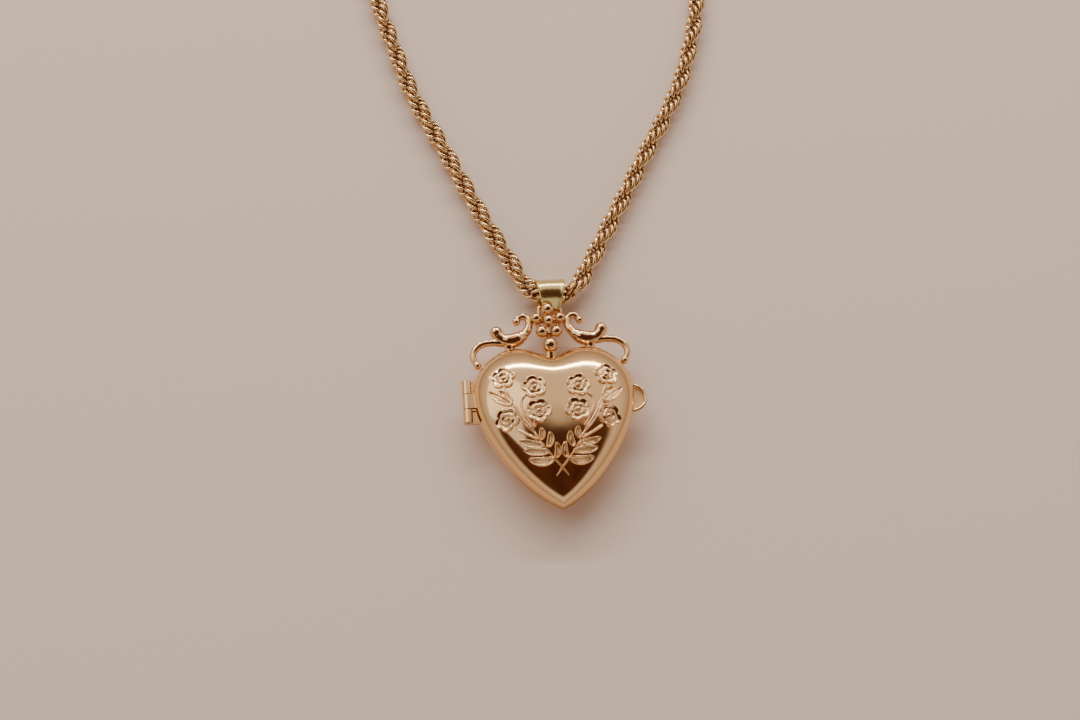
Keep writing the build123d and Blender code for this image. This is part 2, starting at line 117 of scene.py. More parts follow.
class NecklaceColours(PropertyGroup):
    """Colours of the finishes."""

    locket_gold: FloatVectorProperty(name="Locket gold", subtype="COLOR", size=3, default=linear("#EFC591"),
                                     description="Gold plating of the locket and its crest")
    chain_gold: FloatVectorProperty(name="Chain gold", subtype="COLOR", size=3, default=linear("#F8D6A2"),
                                    description="Gold plating of the chain and clasp")
    bail_gold: FloatVectorProperty(name="Bail gold", subtype="COLOR", size=3, default=linear("#E6CF8E"),
                                   description="Greenish gold plating of the bail")
    card: FloatVectorProperty(name="Card", subtype="COLOR", size=3, default=linear("#ECE6DA"),
                              description="Blank paper card in each half")
    floor: FloatVectorProperty(name="Floor", subtype="COLOR", size=3, default=linear("#FAE4D2"),
                               description="Pale surface that the necklace lies on")


# ----------------------------------------------------------------------------- finishes
def add_node(owner, kind, settings=None, links=None):
    """Add one node to a material or world, set its sockets or properties, and link its inputs."""
    node = owner.node_tree.nodes.new(kind)
    for key, value in (settings or {}).items():
        if key in node.inputs:
            node.inputs[key].default_value = value
        else:
            setattr(node, key, value)
    for key, output in (links or {}).items():
        owner.node_tree.links.new(output, node.inputs[key])
    return node


def fresh_material(name):
    """Return an empty node material and its output node."""
    material = bpy.data.materials.new(name)
    material.use_nodes = True
    material.node_tree.nodes.clear()
    return material, add_node(material, "ShaderNodeOutputMaterial")


def gold_plating(name, colour, roughness, dent_size, scratch_size, shade_attribute=None):
    """Electroplated gold over polished brass.

    The plating is thin and bright, so it shows the buffed brass under it: a mirror with long soft
    dents from stamping or casting, fine buffing lines, and a faint warm and cool drift in colour.
    """
    material = bpy.data.materials.get(name)
    if material:
        return material
    material, output = fresh_material(name)
    place = add_node(material, "ShaderNodeTexCoord").outputs["Object"]
    drift = add_node(material, "ShaderNodeTexNoise", {"Scale": 1 / 0.006, "Detail": 2.0}, {"Vector": place})
    tone = add_node(material, "ShaderNodeMix", {"data_type": "RGBA"}, {"Factor": drift.outputs["Fac"]})
    tone.inputs[6].default_value = (*[c * 0.94 for c in colour], 1)
    tone.inputs[7].default_value = (min(1, colour[0] * 1.03), colour[1], colour[2] * 0.93, 1)
    # painted shade: where the attribute is low the gold is mixed towards a dark brown, standing in for the
    # shade the links cast on each other
    if shade_attribute:
        inside = add_node(material, "ShaderNodeAttribute", {"attribute_name": shade_attribute}).outputs["Fac"]
        painted_shade_mask = add_node(material, "ShaderNodeMapRange", {"From Min": 0.4, "From Max": 0.88},
                          {"Value": inside})
        plated = tone.outputs[2]
        tone = add_node(material, "ShaderNodeMix", {"data_type": "RGBA"},
                        {"Factor": painted_shade_mask.outputs["Result"], 7: plated})
        # the dark brown of the painted shade
        tone.inputs[6].default_value = (colour[0] * 0.4, colour[1] * 0.25, colour[2] * 0.14, 1)
    dents = add_node(material, "ShaderNodeTexNoise", {"Scale": 1 / dent_size, "Detail": 1.0},
                     {"Vector": place})
    dent_bump = add_node(material, "ShaderNodeBump", {"Strength": 0.12, "Distance": dent_size * 0.05},
                         {"Height": dents.outputs["Fac"]})
    stretch = add_node(material, "ShaderNodeMapping", {"Scale": (1, 0.16, 1), "Rotation": (0, 0, 0.5)},
                       {"Vector": place})
    # buffing lines are finer than this in truth, drawn this coarse so that they show
    lines = add_node(material, "ShaderNodeTexNoise", {"Scale": 1 / scratch_size, "Detail": 3.0},
                     {"Vector": stretch.outputs["Vector"]})
    line_bump = add_node(material, "ShaderNodeBump", {"Strength": 0.06, "Distance": scratch_size * 0.1},
                         {"Height": lines.outputs["Fac"], "Normal": dent_bump.outputs["Normal"]})
    haze = add_node(material, "ShaderNodeMapRange", {"To Min": roughness * 0.75, "To Max": roughness * 1.35},
                    {"Value": lines.outputs["Fac"]})
    shader = add_node(material, "ShaderNodeBsdfPrincipled", {"Metallic": 1.0},
                      {"Base Color": tone.outputs[2], "Roughness": haze.outputs["Result"],
                       "Normal": line_bump.outputs["Normal"]})
    material.node_tree.links.new(shader.outputs["BSDF"], output.inputs["Surface"])
    return material


def locket_gold():
    """Rose-tinted gold of the stamped covers and the cast crest."""
    return gold_plating("rose gold plating on stamped brass", bpy.context.scene.necklace_colours.locket_gold,
                        0.1, 0.003, 0.0003)


def chain_gold(shade_attribute=None):
    """Warm gold of the drawn wire, with painted shade where the wire faces into the rope, driven by the given
    attribute.
    """
    name = "warm gold plating on drawn wire"
    if shade_attribute:
        name += ", painted shade in recesses"
    return gold_plating(name, bpy.context.scene.necklace_colours.chain_gold, 0.16, 0.002, 0.0003, shade_attribute)


def bail_gold():
    """Greenish gold of the folded strip, a little more matt."""
    return gold_plating("yellow gold plating on folded strip", bpy.context.scene.necklace_colours.bail_gold,
                        0.22, 0.003, 0.00035)


def spring_steel():
    """Bright drawn steel wire and pin: grey, with draw lines along the wire."""
    material = bpy.data.materials.get("bright drawn steel")
    if material:
        return material
    material, output = fresh_material("bright drawn steel")
    place = add_node(material, "ShaderNodeTexCoord").outputs["Object"]
    lines = add_node(material, "ShaderNodeTexNoise", {"Scale": 1 / 0.0003, "Detail": 2.0}, {"Vector": place})
    haze = add_node(material, "ShaderNodeMapRange", {"To Min": 0.2, "To Max": 0.38},
                    {"Value": lines.outputs["Fac"]})
    shader = add_node(material, "ShaderNodeBsdfPrincipled",
                      {"Metallic": 1.0, "Base Color": (*linear("#C9C8C4"), 1)},
                      {"Roughness": haze.outputs["Result"]})
    material.node_tree.links.new(shader.outputs["BSDF"], output.inputs["Surface"])
    return material


def clear_film():
    """Thin clear acetate over each photo place: nearly invisible but for its gloss."""
    material = bpy.data.materials.get("clear acetate film")
    if material:
        return material
    material, output = fresh_material("clear acetate film")
    place = add_node(material, "ShaderNodeTexCoord").outputs["Object"]
    ripple = add_node(material, "ShaderNodeTexNoise", {"Scale": 1 / 0.004, "Detail": 1.0}, {"Vector": place})
    bump = add_node(material, "ShaderNodeBump", {"Strength": 0.15, "Distance": 0.0001},
                    {"Height": ripple.outputs["Fac"]})
    haze = add_node(material, "ShaderNodeMapRange", {"To Min": 0.04, "To Max": 0.1},
                    {"Value": ripple.outputs["Fac"]})
    shader = add_node(material, "ShaderNodeBsdfPrincipled",
                      {"Base Color": (*linear("#F6F7F8"), 1), "Alpha": 0.16, "IOR": 1.48},
                      {"Normal": bump.outputs["Normal"], "Roughness": haze.outputs["Result"]})
    material.node_tree.links.new(shader.outputs["BSDF"], output.inputs["Surface"])
    return material


def paper_card():
    """Uncoated paper card: matt, with a faint fibre mottle."""
    material = bpy.data.materials.get("uncoated paper card")
    if material:
        return material
    material, output = fresh_material("uncoated paper card")
    colour = bpy.context.scene.necklace_colours.card
    place = add_node(material, "ShaderNodeTexCoord").outputs["Object"]
    fibre = add_node(material, "ShaderNodeTexNoise", {"Scale": 1 / 0.0004, "Detail": 4.0}, {"Vector": place})
    tone = add_node(material, "ShaderNodeMix", {"data_type": "RGBA"}, {"Factor": fibre.outputs["Fac"]})
    tone.inputs[6].default_value = (*[c * 0.9 for c in colour], 1)
    tone.inputs[7].default_value = (*colour, 1)
    bump = add_node(material, "ShaderNodeBump", {"Strength": 0.3, "Distance": 0.00003},
                    {"Height": fibre.outputs["Fac"]})
    shader = add_node(material, "ShaderNodeBsdfPrincipled", {"Roughness": 0.85},
                      {"Base Color": tone.outputs[2], "Normal": bump.outputs["Normal"]})
    material.node_tree.links.new(shader.outputs["BSDF"], output.inputs["Surface"])
    return material


# ----------------------------------------------------------------------------- mesh helpers
def piece_from(bm, name, material, body, sharp_angle=38):
    """Turn a bmesh into a finished piece that rides on a body."""
    for face in bm.faces:
        face.smooth = True
    for edge in bm.edges:
        if len(edge.link_faces) == 2 and edge.calc_face_angle(0) > radians(sharp_angle):
            edge.smooth = False
    mesh = bpy.data.meshes.new(name)
    bm.to_mesh(mesh)
    bm.free()
    mesh.materials.append(material)
    piece = bpy.data.objects.new(name, mesh)
    bpy.context.scene.collection.objects.link(piece)
    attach(piece, body)
    return piece


def tidy_normals(bm, merge=1e-7):
    """Merge doubles and point every face outwards."""
    bmesh.ops.remove_doubles(bm, verts=bm.verts[:], dist=merge)
    bmesh.ops.recalc_face_normals(bm, faces=bm.faces[:])


def start_ring(bm, points):
    """Start a surface with a closed ring of corners at the given points, and return its edges in order."""
    corners = bmesh.ops.create_circle(bm, cap_ends=False, radius=1, segments=len(points))["verts"]
    for corner, point in zip(corners, points):
        corner.co = point
    return list({edge for corner in corners for edge in corner.link_edges}), corners


def next_ring(bm, edges, corners, points):
    """Extrude a ring of edges and move the new corners to the given points."""
    made = bmesh.ops.extrude_edge_only(bm, edges=edges)["geom"]
    fresh = {g for g in made if isinstance(g, bmesh.types.BMVert)}
    new_edges = [g for g in made if isinstance(g, bmesh.types.BMEdge) and set(g.verts) <= fresh]
    following = [next(e.other_vert(corner) for e in corner.link_edges if e.other_vert(corner) in fresh)
                 for corner in corners]
    for corner, point in zip(following, points):
        corner.co = point
    return new_edges, following


def rings(bm, layers, close_first=False, close_last=False):
    """Build a surface through a list of rings, each a list of points, and close its ends if asked."""
    edges, corners = start_ring(bm, layers[0])
    first = edges
    for points in layers[1:]:
        edges, corners = next_ring(bm, edges, corners, points)
    if close_first:
        bmesh.ops.edgeloop_fill(bm, edges=first)
    if close_last:
        bmesh.ops.edgeloop_fill(bm, edges=edges)


def oval(middle, sideways, up, half_width, half_height, corners):
    """Return a closed ring of points round a middle."""
    turns = [2 * pi * k / corners for k in range(corners)]
    return [middle + sideways * (half_width * cos(turn)) + up * (half_height * sin(turn)) for turn in turns]


def smooth_line(points, steps):
    """Return points read along the smooth NURBS line of some control points."""
    curve = bpy.data.curves.new("line", "CURVE")
    curve.dimensions = "3D"
    curve.resolution_u = steps
    spline = curve.splines.new("NURBS")
    spline.points.add(len(points) - 1)
    for control, point in zip(spline.points, points):
        control.co = (*point, 1)
    spline.order_u = 3
    spline.use_endpoint_u = True
    carrier = bpy.data.objects.new("line", curve)
    bpy.context.scene.collection.objects.link(carrier)
    mesh = bpy.data.meshes.new_from_object(carrier)
    line = [v.co.copy() for v in mesh.vertices]
    bpy.data.objects.remove(carrier)
    bpy.data.curves.remove(curve)
    bpy.data.meshes.remove(mesh)
    return line


def evenly(line, step):
    """Return (point, direction, share of the way) at even steps along a line of points."""
    lengths = [0.0]
    for before, after in zip(line, line[1:]):
        lengths.append(lengths[-1] + (after - before).length)
    count = max(2, round(lengths[-1] / step))
    samples = []
    index = 0
    for k in range(count + 1):
        along = lengths[-1] * k / count
        while index < len(line) - 2 and lengths[index + 1] < along:
            index += 1
        run = line[index + 1] - line[index]
        share = (along - lengths[index]) / max(run.length, 1e-12)
        samples.append((line[index] + run * share, run.normalized(), k / count))
    return samples


# ----------------------------------------------------------------------------- camera
class NECKLACE_OT_camera(Operator):
    """Add the camera"""

    bl_idname = "necklace.camera"
    bl_label = "Camera"

    def execute(self, context):
        place = Vector((-0.02329, -0.09421, 0.22838))
        aim = Vector((-0.00124, 0.01229, 0.0))
        roll = radians(8.31)
        data = bpy.data.cameras.new("camera")
        data.lens = 60.6
        data.sensor_width = 36
        data.clip_start = 0.01
        data.clip_end = 5
        camera = bpy.data.objects.new("camera", data)
        turn = (aim - place).to_track_quat("-Z", "Y").to_matrix() @ Matrix.Rotation(roll, 3, "Z")
        camera.matrix_world = Matrix.Translation(place) @ turn.to_4x4()
        context.scene.collection.objects.link(camera)
        context.scene.camera = camera
        return {"FINISHED"}


# ----------------------------------------------------------------------------- rope chain
LINK_STEPS, WIRE_CORNERS = 14, 6


def link_mesh(sizes):
    """Make one closed, twisted wire link, and note how far each corner lies from the chain's line."""
    wire = sizes.link_wire / 2
    reach = sizes.link_width / 2 - wire
    link = bmesh.new()
    bmesh.ops.create_circle(link, radius=wire, segments=WIRE_CORNERS,
                            matrix=Matrix.Translation((reach, 0, 0)))
    bmesh.ops.rotate(link, verts=link.verts[:], cent=(reach, 0, 0), matrix=Matrix.Rotation(pi / 2, 3, "X"))
    bmesh.ops.spin(link, geom=link.verts[:] + link.edges[:], cent=(0, 0, 0), axis=(0, 0, 1),
                   angle=2 * pi, steps=LINK_STEPS, use_merge=True)
    depth = link.verts.layers.float.new("depth")
    for corner in link.verts:
        corner[depth] = corner.co.xz.length / reach
        corner.co = Matrix.Rotation(-sizes.link_twist * corner.co.y / reach, 3, "Y") @ corner.co
        corner.co.y *= sizes.link_stretch
    tidy_normals(link)
    mesh = bpy.data.meshes.new("link")
    link.to_mesh(mesh)
    link.free()
    return mesh


class NECKLACE_OT_rope(Operator):
    """Make the rope chain from twisted wire links, each turned a little from the one before"""

    bl_idname = "necklace.rope"
    bl_label = "Rope chain"

    def execute(self, context):
        sizes = context.scene.necklace_sizes
        samples = evenly(smooth_line([Vector(p) * MM for p in CHAIN_ROUTE], steps=16), sizes.link_step)
        link = link_mesh(sizes)
        rope = bmesh.new()
        side = Vector((0, 0, 1))
        turn = 0.0
        for point, along, _ in samples[1:-1]:
            side = (side - along * side.dot(along)).normalized()
            outwards = Matrix.Rotation(turn, 3, along) @ side
            place = Matrix((outwards, along, outwards.cross(along))).transposed().to_4x4()
            place.translation = point
            copy = link.copy()
            copy.transform(place)
            rope.from_mesh(copy)
            bpy.data.meshes.remove(copy)
            turn += sizes.link_turn
        # the depth attribute paints shade on each wire's inner side, where the links shade each other
        chain = piece_from(rope, "rope_links", chain_gold("depth"), "chain", sharp_angle=80)
        bpy.data.meshes.remove(link)
        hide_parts("rope_chain")
        return {"FINISHED"}


# ----------------------------------------------------------------------------- locket covers
HEART_MIDDLE = Vector((0, 0.001, 0))
TIP, CLEFT = -pi / 2, pi / 2
MEAN_REACH = 0.0098
# the cleft is creased this share deeper than the plain outline, over this much turn to each side
CREASE_DEPTH, CREASE_SPREAD = 0.04, 0.2
FAR_OUT = 0.03
JUST_UNDER = 0.00002
# the front dome stops this lean short of its crown; more fullness makes a wall steeper and a crown flatter
CROWN_LEAN = radians(88.4)
DOME_FULLNESS, BOWL_FULLNESS = 2.5, 1.3
FRONT_LEVELS, FRONT_INSIDE_LEVELS = 46, 20
REAR_LEVELS, REAR_INSIDE_LEVELS = 22, 12
REAR_FLAT, REAR_INSIDE_FLAT = 0.62, 0.58


def heart_reach(steps):
    """Read how far the locket's outline stands from the heart's middle, at even turns round it."""
    shell = BVHTree.FromObject(NODES["rear_shell"], bpy.context.evaluated_depsgraph_get())
    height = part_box("rear_shell")[1].z - JUST_UNDER
    reach = []
    for k in range(steps):
        turn = TIP + 2 * pi * k / steps
        outwards = Vector((cos(turn), sin(turn), 0))
        start = HEART_MIDDLE + outwards * FAR_OUT + Vector((0, 0, height))
        hit = shell.ray_cast(start, -outwards)[0]
        crease = max(0.0, 1 - abs(turn - CLEFT) / CREASE_SPREAD) ** 2
        reach.append((hit - HEART_MIDDLE).xy.length * (1 - CREASE_DEPTH * crease))
    return eased(reach, 5, 1.0)


def eased(reach, passes, hold):
    """Smooth an outline's reach; hold keeps the tip and the cleft as sharp as they were."""
    count = len(reach)
    for _ in range(passes):
        softer = [(reach[k - 1] + 2 * reach[k] + reach[(k + 1) % count]) / 4 for k in range(count)]
        for k in (0, count // 2):
            softer[k] += (reach[k] - softer[k]) * hold
        reach = softer
    return reach


def heart_ring(reach, share, height):
    """Return one heart-shaped ring of points."""
    ring = []
    for k, distance in enumerate(reach):
        turn = TIP + 2 * pi * k / len(reach)
        outwards = Vector((cos(turn), sin(turn), 0))
        ring.append(HEART_MIDDLE + outwards * distance * share + Vector((0, 0, height)))
    return ring


def dome_rings(reach, rim_share, rim_height, rise, levels):
    """Return rings from the rim to just short of the crown of a puffed heart.

    The wall starts upright and rolls over into a broad crown. The crease of the cleft fades on the way up.
    """
    layers = []
    for k in range(levels):
        share = cos(CROWN_LEAN * k / (levels - 1))
        reach = eased(reach, 1 + k // 2, max(0.0, 1 - (1 - share) / 0.4))
        height = rim_height + rise * (1 - share ** DOME_FULLNESS) ** 0.5
        layers.append(heart_ring(reach, rim_share * share, height))
    return layers


def bowl_rings(reach, rim_share, flat_share, high, low, levels):
    """Return rings from the rim down to the edge of the flat of a shallow heart-shaped bowl."""
    layers = []
    for k in range(levels):
        lean = radians(90 * k / (levels - 1))
        share = flat_share + (rim_share - flat_share) * cos(lean) ** BOWL_FULLNESS
        layers.append(heart_ring(reach, share, low + (high - low) * (1 - sin(lean))))
    return layers


def finish_cover(outside, lip, inside, name, body, node):
    """Join a cover's outside, lip and inside into one closed wall, which stands for its plain node."""
    bm = bmesh.new()
    rings(bm, outside[::-1] + lip + inside, close_first=True, close_last=True)
    tidy_normals(bm)
    cover = piece_from(bm, name, locket_gold(), body)
    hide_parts(node)


class NECKLACE_OT_covers(Operator):
    """Make the puffed front cover and the smooth rear cover"""

    bl_idname = "necklace.covers"
    bl_label = "Locket covers"

    def execute(self, context):
        sizes = context.scene.necklace_sizes
        reach = heart_reach(sizes.cover_steps)
        wall = sizes.cover_wall
        wall_share = 1 - wall / MEAN_REACH

        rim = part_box("front_shell")[0].z
        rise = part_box("front_shell")[1].z - rim
        outside = dome_rings(reach, 1.0, rim + 0.00012, rise - 0.00012, FRONT_LEVELS)
        lip = [heart_ring(reach, share, height) for share, height in (
            (0.997, rim + 0.00003), (0.989, rim), (wall_share + 0.009, rim),
            (wall_share + 0.002, rim + 0.00002))]
        inside = dome_rings(reach, wall_share, rim + 0.00008, rise - wall - 0.0001, FRONT_INSIDE_LEVELS)
        finish_cover(outside, lip, inside, "front_cover", "lid", "front_shell")

        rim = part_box("rear_shell")[1].z
        edge = rim - 0.0001
        outside = bowl_rings(reach, 1.0, REAR_FLAT, edge, 0.0, REAR_LEVELS)
        lip = [heart_ring(reach, share, height) for share, height in (
            (0.997, rim - 0.00003), (0.989, rim), (wall_share + 0.008, rim), (wall_share, edge))]
        inside = bowl_rings(reach, wall_share, REAR_INSIDE_FLAT, edge, wall, REAR_INSIDE_LEVELS)[1:]
        finish_cover(outside, lip, inside, "rear_cover", "locket_back", "rear_shell")
        return {"FINISHED"}


# ----------------------------------------------------------------------------- wreath
# The right half of the wreath, in millimetres over the dome; the left half is its mirror image.
FLOWERS = [((6.99, 6.98), 1.72, 0.35), ((2.97, 5.25), 1.78, 0.1), ((2.62, 1.65), 1.82, 0.75),
           ((6.88, 0.8), 1.7, -0.3)]
STEMS = [([(-0.82, -7.35), (-0.4, -6.85), (0.1, -6.2), (0.94, -5.22), (1.8, -4.1), (2.6, -2.95), (3.1, -1.8),
           (3.75, -0.9)], 0.15),
         ([(3.2, -1.6), (3.75, -0.75), (4.95, 0.85), (5.5, 2.3), (6.2, 3.7), (6.75, 5.5)], 0.17),
         ([(3.45, -1.5), (4.05, -0.85), (5.2, 0.6), (5.8, 2.2), (6.5, 3.6), (6.95, 5.4)], 0.13),
         ([(3.45, -1.0), (3.75, -0.1), (4.55, 1.45), (4.95, 2.6), (4.65, 3.75), (3.8, 4.3)], 0.19),
         ([(2.75, -2.6), (3.6, -2.1), (4.7, -1.45), (5.75, -0.7)], 0.17),
         ([(2.95, -2.2), (3.9, -1.75), (4.9, -1.15), (5.8, -0.45)], 0.12),
         ([(3.45, -0.9), (3.4, -0.3), (3.2, 0.4)], 0.17)]
LEAVES = [((0.94, -5.28), (4.35, -4.9), 0.62, -0.1), ((1.58, -4.2), (4.95, -3.6), 0.56, -0.06),
          ((2.15, -3.42), (5.45, -2.3), 0.56, -0.04), ((0.72, -5.15), (0.62, -2.95), 0.48, 0.12),
          ((1.72, -3.7), (1.35, -1.45), 0.52, 0.1), ((2.5, -2.62), (2.45, -0.8), 0.46, 0.05),
          ((6.0, 2.75), (9.05, 5.3), 0.62, -0.06), ((5.95, 3.15), (7.75, 5.05), 0.42, 0.06),
          ((3.3, -0.75), (3.15, 0.3), 0.26, 0.05)]


class Dome:
    """The front cover's surface, to lay relief on."""

    def __init__(self, cover):
        self.tree = BVHTree.FromObject(cover, bpy.context.evaluated_depsgraph_get())

    def at(self, x, y):
        """Return the surface point and its outward direction over a place, in metres."""
        hit, out, _, _ = self.tree.ray_cast(Vector((x, y, 0.02)), Vector((0, 0, -1)))
        return hit, out

    def over(self, x, y, height):
        """Return the point at a height over the surface."""
        hit, out = self.at(x, y)
        return hit + out * height


# (share of the radius, share of the relief height) from a flower's foot to its middle
FLOWER_PROFILE = [(1.03, -0.4), (1.0, 0.4), (0.97, 0.85), (0.92, 1.0), (0.86, 0.95), (0.79, 0.6), (0.7, 0.3),
                  (0.6, 0.22), (0.52, 0.3), (0.46, 0.7), (0.41, 0.95), (0.36, 0.9), (0.31, 0.5), (0.26, 0.15),
                  (0.21, 0.2), (0.16, 0.7), (0.1, 0.95), (0.04, 1.0)]
# the same for a leaf, from its foot to its rib
LEAF_PROFILE = [(1.06, -0.4), (0.98, 0.5), (0.88, 0.95), (0.74, 1.0), (0.6, 0.75), (0.45, 0.3), (0.3, 0.08),
                (0.16, 0.15), (0.05, 0.4)]
FLOWER_CORNERS, LEAF_CORNERS, STEM_CORNERS = 100, 40, 10
STEM_STEP = 0.00012


def add_flower(bm, dome, middle, radius, turn, relief):
    """Add one five-petal flower: raised petal edges, sunk petals, and a ringed middle with a dot."""
    layers = []
    for share, height in FLOWER_PROFILE:
        lobing = min(1.0, max(0.0, (share - 0.3) / 0.45))
        ring = []
        for k in range(FLOWER_CORNERS):
            angle = 2 * pi * k / FLOWER_CORNERS
            petal = abs(cos(2.5 * (angle - turn)))
            reach = radius * share * (1 - lobing * 0.26 * (1 - petal ** 0.8))
            groove = 1 - 0.8 * lobing * (1 - petal) ** 4
            ring.append(dome.over(middle[0] + reach * cos(angle), middle[1] + reach * sin(angle),
                                  relief * height * groove))
        layers.append(ring)
    rings(bm, layers, close_first=True, close_last=True)


def add_leaf(bm, dome, base, tip, half_width, bend, relief):
    """Add one pointed leaf with a raised edge and a rib."""
    base = Vector(base)
    along = Vector(tip) - base
    across = Vector((-along.y, along.x)).normalized()
    layers = []
    for share, height in LEAF_PROFILE:
        ring = []
        for k in range(LEAF_CORNERS):
            angle = 2 * pi * k / LEAF_CORNERS
            way = 0.5 - 0.5 * cos(angle) * (0.55 + 0.45 * min(1, share))
            width = half_width * share * abs(sin(angle)) ** 0.85 * (1.15 - 0.35 * way)
            side = 1 if sin(angle) >= 0 else -1
            spot = base + along * way + across * (side * width + bend * along.length * sin(pi * way))
            ring.append(dome.over(spot.x, spot.y, relief * height))
        layers.append(ring)
    rings(bm, layers, close_first=True, close_last=True)


def add_stem(bm, dome, points, radius, relief):
    """Add one round stem that is half sunk into the dome."""
    line = smooth_line([Vector((x, y, 0)) * MM for x, y in points], steps=8)
    layers = []
    for spot, along, share in evenly(line, STEM_STEP):
        hit, out = dome.at(spot.x, spot.y)
        sideways = out.cross(along).normalized()
        thick = radius * (0.55 + 0.45 * min(1, 8 * min(share, 1 - share)))
        layers.append(oval(hit + out * (relief * 0.15), sideways, out, thick, thick * 0.9, STEM_CORNERS))
    rings(bm, layers, close_first=True, close_last=True)


class NECKLACE_OT_wreath(Operator):
    """Raise the wreath of flowers, leaves and stems on the front cover"""

    bl_idname = "necklace.wreath"
    bl_label = "Wreath"

    def execute(self, context):
        relief = context.scene.necklace_sizes.relief
        dome = Dome(bpy.data.objects["front_cover"])
        for side, name in ((1, "right_wreath"), (-1, "left_wreath")):
            bm = bmesh.new()
            for (x, y), radius, turn in FLOWERS:
                turn = turn if side > 0 else pi - turn
                add_flower(bm, dome, (side * x * MM, y * MM), radius * MM, turn, relief)
            for base, tip, half_width, bend in LEAVES:
                add_leaf(bm, dome, (side * base[0] * MM, base[1] * MM), (side * tip[0] * MM, tip[1] * MM),
                         half_width * MM, side * bend, relief)
            for points, radius in STEMS:
                add_stem(bm, dome, [(side * x, y) for x, y in points], radius * MM, relief)
            tidy_normals(bm)
            piece_from(bm, name, locket_gold(), "lid", sharp_angle=70)
        return {"FINISHED"}


# ----------------------------------------------------------------------------- crest
# All in millimetres. What stands on the right is mirrored on the left.
# each bead's x, y, radius and height
MIDDLE_BEADS = [(0, 18.35, 0.84, 3.6), (0, 16.6, 0.76, 3.6), (0, 12.95, 1.08, 3.3)]
RIGHT_BEADS = [(1.67, 17.05, 0.78, 3.45), (1.02, 15.0, 0.86, 3.4)]
# the cast web behind the beads: each rod is a line with a radius at each of its points
MIDDLE_WEB = [([(0, 18.2, 2.9), (0, 16.6, 2.75), (0, 15.0, 2.7)], (0.42, 0.42, 0.42)),
              ([(-1.67, 17.05, 2.8), (0, 16.6, 2.75), (1.67, 17.05, 2.8)], (0.42, 0.36, 0.42)),
              ([(-1.06, 15.0, 2.75), (0, 14.9, 2.7), (1.06, 15.0, 2.75)], (0.5, 0.42, 0.5)),
              ([(0, 15.0, 2.7), (0, 14.0, 2.7), (0, 12.95, 2.75)], (0.42, 0.36, 0.5)),
              ([(0, 13.0, 2.8), (0, 12.0, 2.75), (0, 11.0, 2.7), (0, 10.4, 2.45)], (0.62, 0.78, 0.72, 0.4)),
              ([(0, 18.2, 2.8), (0.1, 17.9, 2.4), (0.2, 17.65, 2.3)], (0.4, 0.38, 0.36))]
RIGHT_WEB = [([(1.67, 17.0, 2.8), (1.3, 16.0, 2.7), (1.06, 15.0, 2.75)], (0.36, 0.3, 0.4)),
             ([(1.67, 17.0, 2.8), (2.3, 16.6, 2.75), (2.8, 16.5, 2.75)], (0.34, 0.3, 0.34))]
SCROLL_LINES = [
    ([(4.4, 16.9, 2.85), (4.1, 17.5, 2.85), (3.3, 17.75, 2.85), (2.6, 17.0, 2.85), (2.75, 15.7, 2.85),
      (3.6, 14.7, 2.85), (4.9, 14.0, 2.85)], (0.46, 0.5, 0.52, 0.56, 0.64, 0.85, 1.0)),
    ([(3.5, 14.8, 2.85), (4.7, 14.0, 2.85), (6.0, 14.0, 2.85), (6.9, 14.5, 2.9), (7.3, 15.2, 2.95)],
     (0.75, 1.02, 1.04, 0.84, 0.82)),
    ([(4.8, 13.7, 2.8), (6.6, 13.75, 2.8), (8.2, 13.9, 2.8), (9.7, 13.6, 2.8), (10.6, 12.6, 2.8),
      (10.75, 11.4, 2.8), (10.2, 10.5, 2.8)], (0.8, 0.62, 0.52, 0.5, 0.5, 0.48, 0.46)),
    ([(5.65, 13.4, 2.7), (5.65, 12.9, 2.6), (5.6, 12.2, 2.5)], (0.75, 0.62, 0.72))]
SCROLL_BALLS = [((4.42, 16.85, 2.85), 0.58), ((7.32, 15.3, 2.95), 0.92), ((10.15, 10.45, 2.8), 0.56)]


ROD_CORNERS = 16
ROD_STEP = 0.00015
WEB_VOXEL, SCROLL_VOXEL = 0.00005, 0.00006
# the bail's eye, in millimetres: its middle, how far it reaches to each side, and its wire's radius
EYE_MIDDLE, EYE_REACH, EYE_WIRE = (0.4, 18.525, 2.3), (1.55, 0.925), 0.29
EYE_STEPS = 24


def add_rod(bm, points, radii, side=1, heighten=1.0):
    """Add one rod along a smooth line in millimetres, with a radius at each control point."""
    line = smooth_line([Vector((side * x, y, z)) * MM for x, y, z in points], steps=10)
    layers = []
    for spot, along, share in evenly(line, ROD_STEP):
        way = share * (len(radii) - 1)
        index = min(int(way), len(radii) - 2)
        ease = way - index
        ease = ease * ease * (3 - 2 * ease)
        thick = (radii[index] * (1 - ease) + radii[index + 1] * ease) * MM
        up = Vector((0, 0, 1)) - along * along.z
        up = up.normalized() if up.length > 0.1 else Vector((0, 1, 0))
        layers.append(oval(spot, along.cross(up).normalized(), up, thick, thick * heighten, ROD_CORNERS))
    rings(bm, layers, close_first=True, close_last=True)


def add_ball(bm, x, y, z, radius, rounds, levels):
    """Add one ball, in millimetres."""
    bmesh.ops.create_uvsphere(bm, u_segments=rounds, v_segments=levels, radius=radius * MM,
                              matrix=Matrix.Translation(Vector((x, y, z)) * MM))


def eye_line():
    """Return the line of the flat, squarish eye that the bail hangs in, in millimetres."""
    line = []
    for k in range(EYE_STEPS + 1):
        turn = 2 * pi * k / EYE_STEPS
        line.append((EYE_MIDDLE[0] + copysign(EYE_REACH[0] * abs(cos(turn)) ** 0.6, cos(turn)),
                     EYE_MIDDLE[1] + copysign(EYE_REACH[1] * abs(sin(turn)) ** 0.6, sin(turn)), EYE_MIDDLE[2]))
    return line


